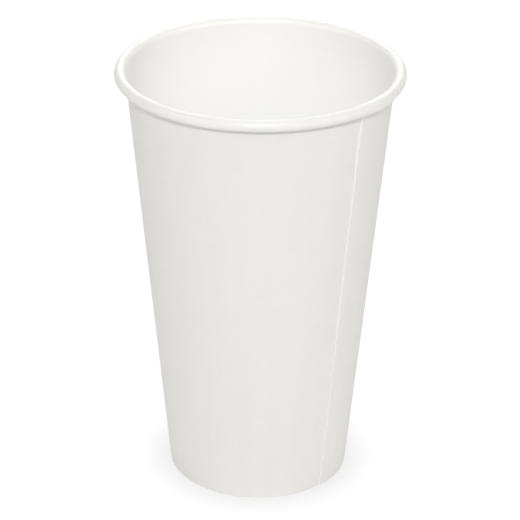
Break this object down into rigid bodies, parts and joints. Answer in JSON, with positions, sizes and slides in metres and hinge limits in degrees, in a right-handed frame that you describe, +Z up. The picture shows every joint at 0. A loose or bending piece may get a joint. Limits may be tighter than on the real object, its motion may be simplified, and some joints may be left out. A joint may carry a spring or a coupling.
{
  "type": "paper cup",
  "caption": "Tall tapered paper hot cup, empty and without a lid: rolled rim, glued side seam, and a bottom set in above a hemmed foot.",
  "frame": {"origin": "centre of the foot ring, on the table plane", "axes": "+Z up along the cup's axis; the middle of the side seam's lap lies 35 degrees clockwise of +X seen from above"},
  "size_m": [0.09, 0.09, 0.138],
  "materials": {
    "coated_board": "white paperboard with a thin polyethylene coating, satin, plain"
  },
  "bodies": {
    "root": {"side_wall": "coated_board", "bottom_disc": "coated_board"}
  },
  "joints": []
}
